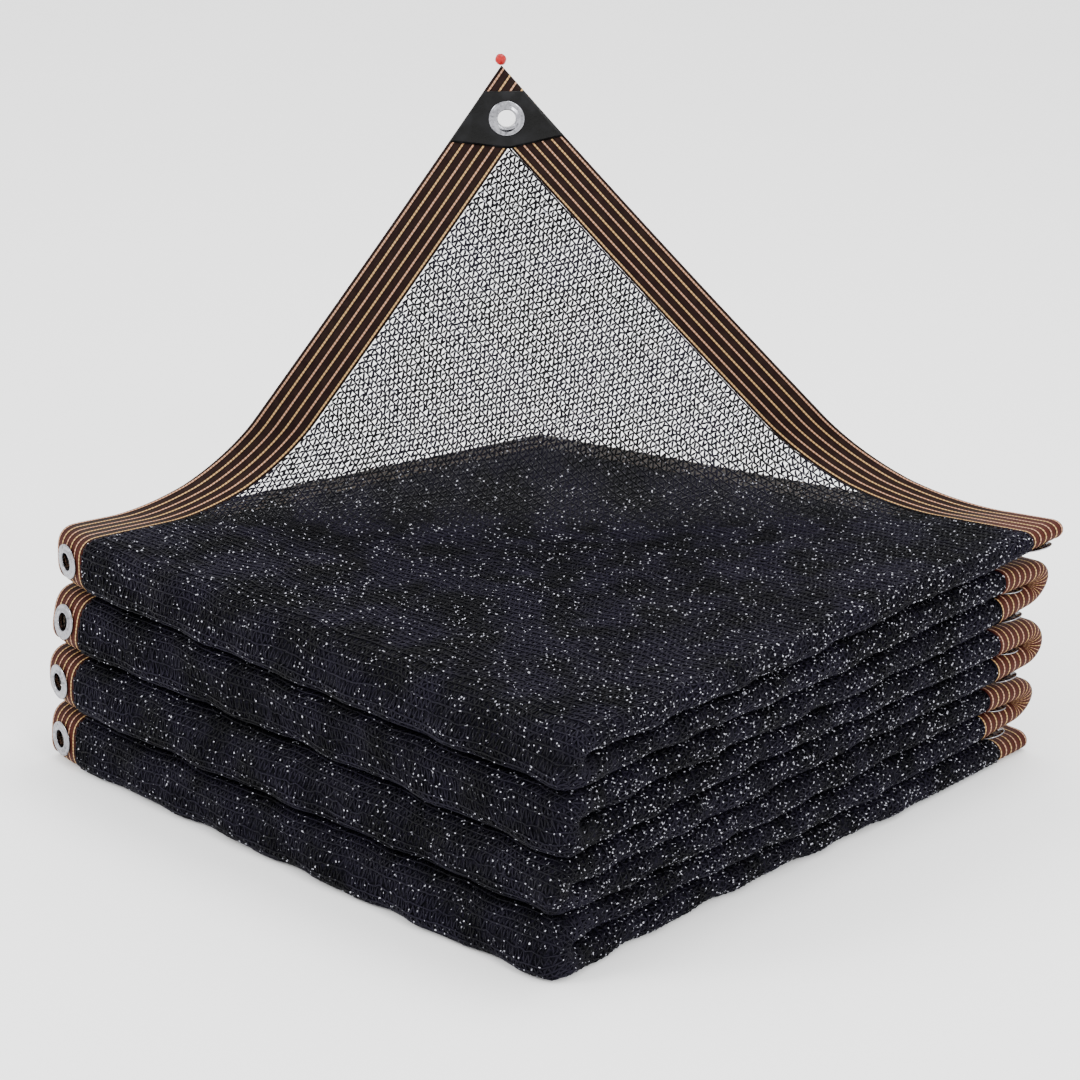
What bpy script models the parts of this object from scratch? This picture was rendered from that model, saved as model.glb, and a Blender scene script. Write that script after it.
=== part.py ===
"""A folded shade cloth with bound edges, eyelets and one raised corner.

The cloth is knitted net. It is folded in four across its width, with a double hairpin,
and then back and forth along its length, into eight panels that lie on each other.
The free corner of the top layer stands up. Metres, +Z up, the pile rests on z = 0.
"""
import math

import bpy
from mathutils import Matrix, Vector

# The pile
FOLD_X = 0.560            # folded size along X, over the ridges
FOLD_Y = 0.560            # folded size along Y, over the bends
PANELS = 8                # panels on each other
PANEL_PITCH = 0.025       # height of one panel
LAYER_PITCH = 0.00625     # between the four layers of a panel
SHEET = 0.0024            # thickness of the net and of the binding tape
GAP = 0.0003              # between pieces that touch
SEAM = 0.0006             # between the net's edge and the tape beside it
PILE_HEIGHT = PANELS * PANEL_PITCH

# The pile's height at its corners, and how it sags and leans
HEIGHT_LEFT = 0.200
HEIGHT_FRONT = 0.190
HEIGHT_RIGHT = 0.200
HEIGHT_BACK = 0.146
LEAN = 0.060              # sideways shift for each metre of height, in X and in Y
WAVE = 0.0025             # unevenness of the bends and ridges
BEND_WAVE = {"cycles": 0.9, "for_each_metre_up": 7.3, "phase": 0.6}
RIDGE_WAVE = {"cycles": 1.2, "for_each_metre_up": 9.1, "phase": 2.1}
CORNER_ROUND = 0.060      # the left corner falls back over this length
CORNER_BACK = 0.009       # and by this much
NOTCH = 0.006             # half of the extra opening between folds at the right corner
NOTCH_X = 0.120
NOTCH_Y = 0.100
SQUARENESS = 2.9          # the outer layer is flatter than round at the front bends
INNER_RIDGE_BACK = 0.004  # the inner layers turn this far inside the ridge

# Binding tape and the bands over the back bends
TAPE_WIDTH = 0.040
BAND_SHEET = 0.0012

# The raised corner of the top layer
LIFT_START = 0.036        # past the diagonal of the pile
LIFT_RADIUS = 0.062
LIFT_FROM = math.radians(-5)
LIFT_TO = math.radians(88)
LIFT_STRETCH = 1.12       # the net gives on its bias when held at a corner
LIFT_NARROW = 0.12
LIFT_SHIFT = -0.038       # the tip hangs over to the left

# Eyelets, corner patch and bead
EYELET_OUTER = 0.0140
EYELET_HOLE = 0.0070
EYELET_BARREL = 0.0080
EYELET_RISE = 0.0016
EYELET_SIDES = 20
RIGHT_EYELET_OUTER = 0.0130
RIGHT_EYELET_BACK = 0.002  # from the middle of the ridge's bend
OPEN_TILT = math.radians(-80)     # where a fold is open below, the eyelet tips up
OPEN_SEAT = 0.0007        # its flange bridges the curve of the ridge by this much
CLOSED_TILT = math.radians(-90)   # inside a fold it lies flat
CLOSED_SEAT = 0.0003
CLOSED_RISE = 0.0009
LEFT_EYELET_IN = 0.020    # from the tape's edge
CORNER_EYELET_IN = 0.026
PATCH_SHEET = 0.0009
PATCH_TOP = 0.025         # where the patch starts along each edge
PATCH_LEFT = 0.075        # how far it runs down the left edge
PATCH_RIGHT = 0.070       # and the right edge
PATCH_MIDDLE = 0.041      # its lower edge on the diagonal
BEAD_RADIUS = 0.0043

EYELET_ROUND = 0.0015     # the flange's edge slopes in by this much
PAST_SHEET = 0.0008       # the barrel stands this far past the tape behind it
RIGHT_PAST_SHEET = 0.0006
HOLE_DEPTH = 0.0040       # how deep and how high a hole's cutter reaches
HOLE_ABOVE = 0.0040
RIGHT_HOLE_PAST = 0.0022  # kept short, so that it leaves the next layer whole
RIGHT_HOLE_ABOVE = 0.0008
CORNER_HOLE_DEPTH = 0.008
RIGHT_EYELET_ALONG = 0.001  # from the middle of the fold's tape
BEAD_ROWS = 7
BEAD_SIDES = 10

# Facets
TOP_STEPS_X = 12          # along the top layer, which is the one that lifts
TOP_STEPS_Y = 16
LAYER_STEPS = 3           # along each other layer
RIDGE_STEPS = 6
HAIRPIN_STEPS = 3
FRONT_BEND_STEPS = 6
BACK_BEND_STEPS = 4
SHARP_EDGE = math.radians(50)

# Small moves that show which way a surface faces
PROBE = 0.001
PROBE_FLANGE = 0.002
PROBE_BEND = 0.02
PROBE_RIDGE = 0.05
PROBE_TIP = 0.010

# Places that follow from the sizes
TOP_N = 1.5 * LAYER_PITCH             # outer layers of a panel, from its middle
MID_N = 0.5 * LAYER_PITCH             # inner layers
HALF = SHEET / 2
BAND_OUT = GAP + BAND_SHEET
X_LEFT = -FOLD_X / 2
X_RIGHT = FOLD_X / 2
Y_FRONT = -FOLD_Y / 2
Y_BACK = FOLD_Y / 2
RIDGE_X = X_RIGHT - TOP_N - HALF - BAND_OUT
INNER_RIDGE_X = RIDGE_X - INNER_RIDGE_BACK
LEFT_TURN_X = X_LEFT + LAYER_PITCH / 2 + HALF
CLOTH_X = X_LEFT + TAPE_WIDTH + SEAM  # the net starts beside the tape
BEND_REACH = PANEL_PITCH / 2 + TOP_N + HALF
BEND_FRONT_Y = Y_FRONT + BEND_REACH
BEND_BACK_Y = Y_BACK - BEND_REACH - BAND_OUT
CLOTH_Y = Y_BACK - TAPE_WIDTH - SEAM
BASE_DROP = PANEL_PITCH / 2 - TOP_N - HALF
QUARTER = math.pi / 2
DIAGONAL = math.hypot(FOLD_X, FOLD_Y)
ALONG = Vector((FOLD_X, FOLD_Y)) / DIAGONAL      # from the left to the right corner
PAST = Vector((-FOLD_Y, FOLD_X)) / DIAGONAL      # towards the raised corner
REACH = FOLD_X * FOLD_Y / DIAGONAL

COLOURS = {
    "net": ((0.012, 0.012, 0.016), 0.85, 0.0),
    "tape": ((0.030, 0.020, 0.014), 0.75, 0.0),
    "patch": ((0.010, 0.010, 0.011), 0.35, 0.0),
    "metal": ((0.75, 0.75, 0.76), 0.25, 1.0),
    "bead": ((0.70, 0.03, 0.03), 0.45, 0.0),
}


def material(name):
    """One plain finish for each kind of piece."""
    found = bpy.data.materials.get(name)
    if found:
        return found
    colour, roughness, metallic = COLOURS[name]
    made = bpy.data.materials.new(name)
    made.use_nodes = True
    shader = made.node_tree.nodes["Principled BSDF"]
    shader.inputs["Base Color"].default_value = (*colour, 1.0)
    shader.inputs["Roughness"].default_value = roughness
    shader.inputs["Metallic"].default_value = metallic
    made.diffuse_color = (*colour, 1.0)
    return made


def add_object(name, points, faces, finish, smooth=True):
    mesh = bpy.data.meshes.new(name)
    mesh.from_pydata([tuple(point) for point in points], [], faces)
    mesh.update()
    if smooth:
        mesh.shade_smooth()
        mesh.set_sharp_from_angle(angle=SHARP_EDGE)
    piece = bpy.data.objects.new(name, mesh)
    bpy.context.scene.collection.objects.link(piece)
    mesh.materials.append(material(finish))
    return piece


def smooth_step(value, start, end):
    t = min(max((value - start) / (end - start), 0.0), 1.0)
    return t * t * (3 - 2 * t)


def steps(start, end, count):
    """Evenly spaced values from start to end, both included."""
    return [start + (end - start) * i / count for i in range(count + 1)]


def wave(form, share, z):
    turns = form["cycles"] * share + form["for_each_metre_up"] * z
    return WAVE * math.sin(2 * math.pi * turns + form["phase"])


def settle(x, y, z):
    """Where a point of the evenly folded pile lies once the pile has sagged."""
    across = x / FOLD_X + 0.5
    back = y / FOLD_Y + 0.5
    # folds open in pairs towards the right corner
    corner = smooth_step(x, X_RIGHT - NOTCH_X, X_RIGHT) * smooth_step(y, Y_BACK - NOTCH_Y, Y_BACK)
    level = (z + BASE_DROP) / (2 * PANEL_PITCH)
    offset = (level % 1.0 - 0.5) * 2
    if z < PANEL_PITCH - BASE_DROP:
        z -= NOTCH * corner * z / (PANEL_PITCH - BASE_DROP)
    else:
        z += NOTCH * corner * math.copysign(1 - abs(offset), offset)
    front = HEIGHT_LEFT * (1 - across) + HEIGHT_FRONT * across
    rear = HEIGHT_BACK * (1 - across) + HEIGHT_RIGHT * across
    z *= (front * (1 - back) + rear * back) / PILE_HEIGHT
    fall = max(0.0, 1 - (x - X_LEFT) / CORNER_ROUND) ** 2 * max(0.0, 1 - 2 * back)
    return Vector((
        x + LEAN * z + wave(RIDGE_WAVE, back, z) * across,
        y + LEAN * z + wave(BEND_WAVE, across, z) * (1 - back) + CORNER_BACK * fall,
        z,
    ))


def lifted_middle(x, y):
    """The middle of the top layer, flat on the pile up to the lift, then standing up."""
    flat = Vector((x, y))
    past = flat.dot(PAST)
    beyond = max(past - LIFT_START, 0.0)
    height = PILE_HEIGHT - PANEL_PITCH / 2 - BASE_DROP + TOP_N
    if beyond == 0.0:
        return settle(x, y, height)
    foot = flat - beyond * PAST
    share = beyond / (REACH - LIFT_START)
    curve = LIFT_RADIUS * (LIFT_TO - LIFT_FROM)
    narrow = 1 - LIFT_NARROW * smooth_step(beyond, 0.0, curve)
    length = beyond + (LIFT_STRETCH - 1) * max(beyond - curve / 2, 0.0)
    bent = min(length, curve)
    angle = LIFT_FROM + bent / LIFT_RADIUS
    run = LIFT_RADIUS * (math.sin(angle) - math.sin(LIFT_FROM))
    rise = LIFT_RADIUS * (math.cos(LIFT_FROM) - math.cos(angle))
    run += (length - bent) * math.cos(LIFT_TO)
    rise += (length - bent) * math.sin(LIFT_TO)
    base = settle(foot.x, foot.y, height)
    side = flat.dot(ALONG)
    shift = side * (narrow - 1) + LIFT_SHIFT * share
    move = shift * ALONG + run * PAST
    return base + Vector((move.x, move.y, rise))


def lifted(x, y, out):
    """A point of the top layer, out metres above the layer's middle."""
    middle = lifted_middle(x, y)
    along_x = lifted_middle(x + PROBE, y) - lifted_middle(x - PROBE, y)
    along_y = lifted_middle(x, y + PROBE) - lifted_middle(x, y - PROBE)
    return middle + along_x.cross(along_y).normalized() * out


class Station:
    """One place along the back-and-forth path: on a panel, or part way round a bend."""

    def __init__(self, y, z, panel=0, side=0, angle=0.0):
        self.y = y
        self.z = z
        self.panel = panel
        self.side = side
        self.angle = angle

    def place(self, x, n, top_layer=False):
        """The world point x along the section and n out from the panel's middle."""
        if self.panel:
            if top_layer and self.panel == 1:
                return lifted(x, self.y, n - TOP_N)
            up = n if self.panel % 2 else -n
            return settle(x, self.y, self.z + up)
        radius = PANEL_PITCH / 2 + self.side * n
        power = 1.0
        if self.side > 0:
            power = 2 / (2 + (SQUARENESS - 2) * min(max(n / TOP_N, 0.0), 1.0))
        across = abs(math.cos(self.angle)) ** power
        up = math.copysign(abs(math.sin(self.angle)) ** power, self.angle)
        return settle(x, self.y - self.side * radius * across, self.z + radius * up)


def panel_level(panel):
    return (PANELS - panel + 0.5) * PANEL_PITCH - BASE_DROP


def panel_stations(panel, places):
    return [Station(y, panel_level(panel), panel=panel) for y in places]


def bend_stations(panel, count):
    """Inside points of the bend below a panel: at the front below odd ones, else at the back."""
    side = 1 if panel % 2 else -1
    y = BEND_FRONT_Y if side > 0 else BEND_BACK_Y
    z = panel_level(panel) - PANEL_PITCH / 2
    angles = steps(QUARTER, -QUARTER, count)[1:-1]
    return [Station(y, z, side=side, angle=angle) for angle in angles]


def whole_path(past_net=False):
    """Stations from the back end of the top panel to the back end of the bottom one."""
    path = panel_stations(1, steps(CLOTH_Y, BEND_FRONT_Y, TOP_STEPS_Y))
    lower = steps(BEND_FRONT_Y, BEND_BACK_Y - TAPE_WIDTH, 2) + [BEND_BACK_Y]
    for panel in range(2, PANELS + 1):
        path += bend_stations(panel - 1, FRONT_BEND_STEPS if panel % 2 == 0 else BACK_BEND_STEPS)
        if panel == PANELS:
            path += panel_stations(panel, lower[:-1] + [CLOTH_Y])
        else:
            path += panel_stations(panel, lower if panel % 2 == 0 else lower[::-1])
    if past_net:
        first = Station(Y_BACK, panel_level(1), panel=1)
        last = Station(Y_BACK, panel_level(PANELS), panel=PANELS)
        path = [first] + path + [last]
    return path


def line(x_start, x_end, n, out, count, top_layer=False):
    """Straight run of a section: x, n, the direction out of it, and whether it is the top layer."""
    return [(x, n, 0.0, out, top_layer) for x in steps(x_start, x_end, count)]


def turn(x, n, radius, start, end, count, inward=False):
    """Hairpin of a section, without its two ends."""
    points = []
    sign = -1 if inward else 1
    for angle in steps(start, end, count)[1:-1]:
        c = math.cos(angle)
        s = math.sin(angle)
        points.append((x + radius * c, n + radius * s, sign * c, sign * s, False))
    return points


def four_layers():
    """The net folded in four: top layer, ridge, bottom layer, left turn, and back inside."""
    section = line(CLOTH_X, RIDGE_X, TOP_N, 1, TOP_STEPS_X, top_layer=True)
    section += turn(RIDGE_X, 0, TOP_N, QUARTER, -QUARTER, RIDGE_STEPS)
    section += line(RIDGE_X, LEFT_TURN_X, -TOP_N, -1, LAYER_STEPS)
    section += turn(LEFT_TURN_X, -LAYER_PITCH, LAYER_PITCH / 2, -QUARTER, -3 * QUARTER, HAIRPIN_STEPS)
    section += line(LEFT_TURN_X, INNER_RIDGE_X, -MID_N, 1, LAYER_STEPS)
    section += turn(INNER_RIDGE_X, 0, MID_N, -QUARTER, QUARTER, HAIRPIN_STEPS, inward=True)
    section += line(INNER_RIDGE_X, CLOTH_X, MID_N, -1, LAYER_STEPS)
    return section


def sweep(name, section, path, thickness, finish, offset=0.0):
    """A closed strip: the section given a thickness and carried along the path."""
    above = [(x + nx * (offset + thickness / 2), n + nn * (offset + thickness / 2), top)
             for x, n, nx, nn, top in section]
    below = [(x + nx * (offset - thickness / 2), n + nn * (offset - thickness / 2), top)
             for x, n, nx, nn, top in section]
    ring = above + below[::-1]
    size = len(ring)
    points = []
    for station in path:
        points += [station.place(x, n, top) for x, n, top in ring]
    faces = []
    for row in range(len(path) - 1):
        onward = (path[row + 1].y - path[row].y) or 1.0
        for i in range(size):
            j = (i + 1) % size
            near, near_next = row * size + i, row * size + j
            far, far_next = near + size, near_next + size
            # every layer is split along the same diagonal of the pile, so layers nest
            if (ring[j][0] - ring[i][0]) * onward >= 0:
                faces += [(near, far, far_next), (near, far_next, near_next)]
            else:
                faces += [(near, far, near_next), (far, far_next, near_next)]
    last = (len(path) - 1) * size
    for i in range(len(section) - 1):
        mate = size - 1 - i
        faces.append((i, i + 1, mate - 1, mate))
        faces.append((last + i, last + mate, last + mate - 1, last + i + 1))
    return add_object(name, points, faces, finish)


def frame_at(centre, beside, above):
    """A matrix at centre whose Z is the outward normal of two directions on the surface."""
    z_axis = (beside - centre).cross(above - centre).normalized()
    x_axis = (beside - centre).normalized()
    y_axis = z_axis.cross(x_axis)
    rotation = Matrix((x_axis, y_axis, z_axis)).transposed()
    return Matrix.Translation(centre) @ rotation.to_4x4()


def turned(name, profile, frame, finish, sides=EYELET_SIDES):
    """A ring turned about the frame's Z from a closed profile of radius and height."""
    points = []
    size = len(profile)
    for i in range(sides):
        angle = 2 * math.pi * i / sides
        for radius, height in profile:
            points.append(frame @ Vector((radius * math.cos(angle), radius * math.sin(angle), height)))
    faces = []
    for i in range(sides):
        j = (i + 1) % sides
        for k in range(size):
            m = (k + 1) % size
            faces.append((i * size + k, j * size + k, j * size + m, i * size + m))
    return add_object(name, points, faces, finish)


def eyelet(name, frame, outer, depth, rise=EYELET_RISE):
    """A pressed metal eyelet: a flange on the surface and a barrel through it."""
    profile = [
        (EYELET_HOLE, -depth),
        (EYELET_BARREL, -depth),
        (EYELET_BARREL, GAP),
        (outer, GAP),
        (outer - EYELET_ROUND, GAP + rise),
        (EYELET_HOLE, GAP + rise),
    ]
    return turned(name, profile, frame, "metal")


def cut_hole(pieces, frame, depth, above=HOLE_ABOVE):
    """Punch one eyelet's hole through each of the pieces."""
    corners = []
    sides = EYELET_SIDES
    wide = (EYELET_BARREL + GAP) / math.cos(math.pi / sides)
    for height in (-depth, above):
        for i in range(sides):
            angle = 2 * math.pi * (i + 0.5) / sides
            corners.append(frame @ Vector((wide * math.cos(angle), wide * math.sin(angle), height)))
    faces = [tuple(range(sides))[::-1], tuple(range(sides, 2 * sides))]
    faces += [(i, (i + 1) % sides, sides + (i + 1) % sides, sides + i) for i in range(sides)]
    cutter = add_object("hole_cutter", corners, faces, "metal", smooth=False)
    for piece in pieces:
        cut = piece.modifiers.new("hole", "BOOLEAN")
        cut.operation = "DIFFERENCE"
        cut.object = cutter
        apply_modifiers(piece)
    bpy.data.objects.remove(cutter)


def apply_modifiers(piece):
    bpy.context.view_layer.update()
    shape = piece.evaluated_get(bpy.context.evaluated_depsgraph_get())
    mesh = bpy.data.meshes.new_from_object(shape)
    piece.modifiers.clear()
    piece.data = mesh


def add_cloth():
    return sweep("cloth", four_layers(), whole_path(), SHEET, "net")


def add_long_bindings():
    """Tape along the net's two long edges, which lie on each other at the left."""
    path = whole_path(past_net=True)
    left = line(X_LEFT, X_LEFT + TAPE_WIDTH, TOP_N, 1, 2, top_layer=True)
    inner = line(X_LEFT, X_LEFT + TAPE_WIDTH, MID_N, 1, 1)
    outer_tape = sweep("binding_left", left, path, SHEET, "tape")
    sweep("binding_inner", inner, path, SHEET, "tape")
    return outer_tape


def add_end_bindings():
    """Tape along the net's two short ends, folded in four with it."""
    start = Y_BACK - TAPE_WIDTH
    top = sweep("binding_top", four_layers(), panel_stations(1, [Y_BACK, start]), SHEET, "tape")
    sweep("binding_end", four_layers(), panel_stations(PANELS, [start, Y_BACK]), SHEET, "tape")
    return top


def add_bands():
    """Tape round each back bend, over the outer layer and round the ridge."""
    section = turn(RIDGE_X, 0, TOP_N, QUARTER, -QUARTER, RIDGE_STEPS)[1:]
    section += line(RIDGE_X, LEFT_TURN_X, -TOP_N, -1, LAYER_STEPS)
    start = BEND_BACK_Y - TAPE_WIDTH
    bands = {}
    for panel in range(2, PANELS, 2):
        path = panel_stations(panel, [start, BEND_BACK_Y])
        path += bend_stations(panel, BACK_BEND_STEPS)
        path += panel_stations(panel + 1, [BEND_BACK_Y, start])
        name = f"fold_band_{panel // 2}"
        bands[panel + 1] = sweep(name, section, path, BAND_SHEET, "tape", HALF + GAP + BAND_SHEET / 2)
    return bands


def add_left_eyelets(tape):
    """One eyelet at the middle of each front bend, in the left tape."""
    x = X_LEFT + LEFT_EYELET_IN
    for number, panel in enumerate(range(1, PANELS, 2), start=1):
        level = panel_level(panel) - PANEL_PITCH / 2
        out = TOP_N + HALF
        spots = [Station(BEND_FRONT_Y, level, side=1, angle=angle) for angle in (0.0, PROBE_BEND)]
        centre = spots[0].place(x, out)
        frame = frame_at(centre, spots[0].place(x + PROBE_FLANGE, out), spots[1].place(x, out))
        cut_hole([tape], frame, HOLE_DEPTH)
        eyelet(f"left_eyelet_{number}", frame, EYELET_OUTER, SHEET + PAST_SHEET)


def add_right_eyelets(cloth, top_tape, bands):
    """One eyelet under the ridge of each panel but the lowest, near the right corner."""
    for panel in range(1, PANELS):
        y = Y_BACK - TAPE_WIDTH / 2
        if panel > 1:
            y = BEND_BACK_Y - TAPE_WIDTH / 2 + RIGHT_EYELET_ALONG
        cover = BAND_OUT if panel in bands else 0.0
        is_open = panel % 2 == 1
        up = 1 if is_open else -1
        tilt = OPEN_TILT if is_open else CLOSED_TILT
        seat = OPEN_SEAT if is_open else CLOSED_SEAT
        out = TOP_N + HALF
        station = Station(y, panel_level(panel), panel=panel)
        beyond = Station(y + PROBE_FLANGE, panel_level(panel), panel=panel)

        def on_ridge(angle, spot):
            x = RIDGE_X - RIGHT_EYELET_BACK + out * math.cos(angle)
            return spot.place(x, up * out * math.sin(angle))

        centre = on_ridge(tilt, station)
        frame = frame_at(centre, on_ridge(tilt, beyond), on_ridge(tilt + PROBE_RIDGE, station))
        frame = frame @ Matrix.Translation((0, 0, cover + seat))
        through = [top_tape] if panel == 1 else [cloth]
        if panel in bands:
            through.append(bands[panel])
        depth = SHEET + cover + seat
        rise = EYELET_RISE if is_open else CLOSED_RISE
        cut_hole(through, frame, depth + RIGHT_HOLE_PAST, RIGHT_HOLE_ABOVE)
        eyelet(f"right_eyelet_{panel}", frame, RIGHT_EYELET_OUTER, depth + RIGHT_PAST_SHEET, rise)


def add_corner(tape):
    """Patch, eyelet and bead at the raised corner."""
    outline = [
        (PATCH_TOP, 0.0), (PATCH_LEFT, 0.0), (PATCH_MIDDLE, PATCH_MIDDLE),
        (0.0, PATCH_RIGHT), (0.0, PATCH_TOP),
    ]
    points = []
    for out in (HALF + GAP, HALF + GAP + PATCH_SHEET):
        points += [lifted(X_LEFT + b, Y_BACK - a, out) for a, b in outline]
    size = len(outline)
    faces = [tuple(range(size)), tuple(range(2 * size - 1, size - 1, -1))]
    faces += [(i, size + i, size + (i + 1) % size, (i + 1) % size) for i in range(size)]
    patch = add_object("corner_patch", points, faces, "patch", smooth=False)
    x = X_LEFT + CORNER_EYELET_IN
    y = Y_BACK - CORNER_EYELET_IN
    out = HALF + GAP + PATCH_SHEET
    frame = frame_at(lifted(x, y, out), lifted(x + PROBE_FLANGE, y, out), lifted(x, y + PROBE_FLANGE, out))
    cut_hole([tape, patch], frame, CORNER_HOLE_DEPTH)
    eyelet("corner_eyelet", frame, EYELET_OUTER, out + HALF + GAP)
    tip = lifted(X_LEFT, Y_BACK, 0.0)
    inside = lifted(X_LEFT + PROBE_TIP, Y_BACK - PROBE_TIP, 0.0)
    add_bead(tip + (tip - inside).normalized() * (BEAD_RADIUS + GAP))


def add_bead(centre):
    """A faceted ball, closed by a fan of triangles at each pole."""
    rows = BEAD_ROWS
    sides = BEAD_SIDES
    profile = [(BEAD_RADIUS * math.sin(math.pi * i / rows), -BEAD_RADIUS * math.cos(math.pi * i / rows))
               for i in range(rows + 1)]
    points = [centre + Vector((0, 0, profile[0][1]))]
    for radius, height in profile[1:-1]:
        for k in range(sides):
            angle = 2 * math.pi * k / sides
            points.append(centre + Vector((radius * math.cos(angle), radius * math.sin(angle), height)))
    points.append(centre + Vector((0, 0, profile[-1][1])))
    top = len(points) - 1
    faces = []
    for k in range(sides):
        m = (k + 1) % sides
        faces.append((0, 1 + m, 1 + k))
        for row in range(rows - 2):
            low = 1 + row * sides
            faces.append((low + k, low + m, low + sides + m, low + sides + k))
        last = 1 + (rows - 2) * sides
        faces.append((last + k, last + m, top))
    add_object("tip_bead", points, faces, "bead")


def main():
    for old in list(bpy.data.objects):
        bpy.data.objects.remove(old)
    cloth = add_cloth()
    left_tape = add_long_bindings()
    top_tape = add_end_bindings()
    bands = add_bands()
    add_left_eyelets(left_tape)
    add_right_eyelets(cloth, top_tape, bands)
    add_corner(left_tape)


main()
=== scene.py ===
"""The looks of a folded shade cloth: knitted net, striped tape, eyelets, patch and bead.

Every piece is made on the same folds as the solids, from the same sizes, in metres.
"""
import math

import bpy
import numpy as np
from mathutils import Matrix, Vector


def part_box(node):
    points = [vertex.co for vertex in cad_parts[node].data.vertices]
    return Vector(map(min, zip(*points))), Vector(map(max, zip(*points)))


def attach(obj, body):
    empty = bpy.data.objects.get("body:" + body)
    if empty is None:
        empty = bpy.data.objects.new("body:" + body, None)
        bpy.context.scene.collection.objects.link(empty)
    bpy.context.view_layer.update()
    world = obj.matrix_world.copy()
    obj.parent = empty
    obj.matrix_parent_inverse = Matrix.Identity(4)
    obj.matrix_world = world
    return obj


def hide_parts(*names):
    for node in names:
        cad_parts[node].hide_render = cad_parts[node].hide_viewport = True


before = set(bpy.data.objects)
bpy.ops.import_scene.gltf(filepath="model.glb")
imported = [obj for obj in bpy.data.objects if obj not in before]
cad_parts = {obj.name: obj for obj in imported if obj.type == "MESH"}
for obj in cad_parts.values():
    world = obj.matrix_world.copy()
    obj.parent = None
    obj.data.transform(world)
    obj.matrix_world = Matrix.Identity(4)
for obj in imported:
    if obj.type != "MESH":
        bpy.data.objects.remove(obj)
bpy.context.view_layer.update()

# The pile
FOLD_X = 0.560
FOLD_Y = 0.560
PANELS = 8
PANEL_PITCH = 0.025
LAYER_PITCH = 0.00625
SHEET = 0.0024
GAP = 0.0003
SEAM = 0.0006
PILE_HEIGHT = PANELS * PANEL_PITCH

# The pile's height at its corners, and how it sags and leans
HEIGHT_LEFT = 0.200
HEIGHT_FRONT = 0.190
HEIGHT_RIGHT = 0.200
HEIGHT_BACK = 0.146
LEAN = 0.060
WAVE = 0.0025
BEND_WAVE = {"cycles": 0.9, "for_each_metre_up": 7.3, "phase": 0.6}
RIDGE_WAVE = {"cycles": 1.2, "for_each_metre_up": 9.1, "phase": 2.1}
CORNER_ROUND = 0.060
CORNER_BACK = 0.009
NOTCH = 0.006
NOTCH_X = 0.120
NOTCH_Y = 0.100
SQUARENESS = 2.9
INNER_RIDGE_BACK = 0.004
RIPPLE = 0.0016
RIPPLE_FINE = 0.6
RIPPLE_ALONG_X = ((0.097, 0.083), (0.052, -0.110))
RIPPLE_ALONG_Y = ((0.085, 0.071), (0.046, -0.120))
SWELL_X = 0.110
SWELL_Y = 0.250
SWELL_ROWS = 0.130

# Tape, bands and the raised corner
TAPE_WIDTH = 0.040
BAND_SHEET = 0.0012
LIFT_START = 0.036
LIFT_RADIUS = 0.062
LIFT_FROM = math.radians(-5)
LIFT_TO = math.radians(88)
LIFT_STRETCH = 1.12
LIFT_NARROW = 0.12
LIFT_SHIFT = -0.038

# Eyelets and patch
EYELET_HOLE = 0.0070
EYELET_BARREL = 0.0080
PATCH_SHEET = 0.0009
PATCH_TOP = 0.025
PATCH_LEFT = 0.075
PATCH_RIGHT = 0.070
PATCH_MIDDLE = 0.041

# Places that follow from the sizes
TOP_N = 1.5 * LAYER_PITCH
MID_N = 0.5 * LAYER_PITCH
HALF = SHEET / 2
BAND_OUT = GAP + BAND_SHEET
X_LEFT = -FOLD_X / 2
X_RIGHT = FOLD_X / 2
Y_FRONT = -FOLD_Y / 2
Y_BACK = FOLD_Y / 2
RIDGE_X = X_RIGHT - TOP_N - HALF - BAND_OUT
INNER_RIDGE_X = RIDGE_X - INNER_RIDGE_BACK
LEFT_TURN_X = X_LEFT + LAYER_PITCH / 2 + HALF
CLOTH_X = X_LEFT + TAPE_WIDTH + SEAM
BEND_REACH = PANEL_PITCH / 2 + TOP_N + HALF
BEND_FRONT_Y = Y_FRONT + BEND_REACH
BEND_BACK_Y = Y_BACK - BEND_REACH - BAND_OUT
BAND_Y = BEND_BACK_Y - TAPE_WIDTH
CLOTH_Y = Y_BACK - TAPE_WIDTH - SEAM
BASE_DROP = PANEL_PITCH / 2 - TOP_N - HALF
QUARTER = math.pi / 2
PROBE = 0.001                              # step for measuring a surface's direction
DIAGONAL = math.hypot(FOLD_X, FOLD_Y)
ALONG = np.array((FOLD_X, FOLD_Y)) / DIAGONAL
PAST = np.array((-FOLD_Y, FOLD_X)) / DIAGONAL
REACH = FOLD_X * FOLD_Y / DIAGONAL
RIDGE_START = RIDGE_X - CLOTH_X            # along the section, from the net's edge
RIDGE_LENGTH = math.pi * TOP_N
BEND_LENGTH = math.pi * (PANEL_PITCH / 2 + TOP_N)

# The knit: straight wales with a zigzag yarn laid between them
WALE_PITCH = 0.0065
STROKE = 0.0024
WALE_STEP = 2 * STROKE
YARN_WIDTH = 0.00100
YARN_HEIGHT = 0.00035
WALE_WIDTH = 0.00070
WALE_HEIGHT = 0.00045
GLINT_SCALE = 900.0                        # cells of painted glint in a metre
# share of the yarn painted as glints; the ridges get a larger share of painted glints, where the light
# catches them more
GLINT_SHARE = 0.022
RIDGE_GLINT_SHARE = 0.060
YARN_OUT = HALF + 0.0002
WALE_OUT = YARN_OUT + 0.0004
STRAY = {"along": 0.00045, "across": 0.00035, "out": 0.00030}
WALE_STRAY = {"across": 0.00025, "out": 0.00012}
RAISED_SEED = 11
LYING_SEED = 12
FRONT_SEEDS = 20                           # plus the panel's number
RIDGE_SEEDS = 40
BACKING_THINNER = 0.0004
RIDGE_RUN = 0.012                          # how far the ridge's net runs on each side
LOBE_RUN = 0.018

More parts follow.
